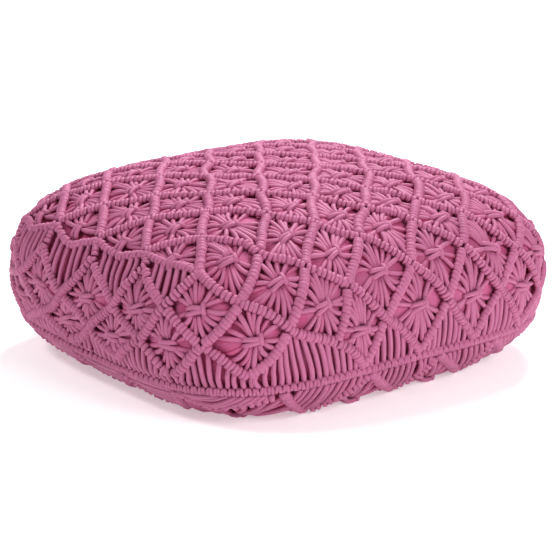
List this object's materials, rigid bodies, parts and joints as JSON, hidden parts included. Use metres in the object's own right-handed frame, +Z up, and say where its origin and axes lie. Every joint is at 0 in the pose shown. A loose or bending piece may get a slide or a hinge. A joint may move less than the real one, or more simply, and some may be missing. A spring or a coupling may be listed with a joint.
{
  "type": "macrame pouf",
  "caption": "Low, square floor pouf: a soft, crowned cushion in a plain casing, inside a knotted macrame cord cover with diamond ridges, star knots and a raised seam all round",
  "frame": {"origin": "middle of the base, on the surface that the pouf stands on", "axes": "+Z up, +X along the wider side, -Y to the front, whose cords run down from the top"},
  "size_m": [0.5, 0.4717, 0.205],
  "materials": {
    "cotton_cord": "matte soft-spun cotton cord, dusty pink, tightly knotted",
    "casing_cloth": "matte plain-woven cotton cloth, a deeper dusty pink, with soft folds"
  },
  "bodies": {
    "root": {"casing_cushion": "casing_cloth", "top_panel": "cotton_cord", "side_panel_left": "cotton_cord", "side_panel_right": "cotton_cord", "seam_cord": "cotton_cord", "bottom_panel": "cotton_cord"}
  },
  "joints": []
}
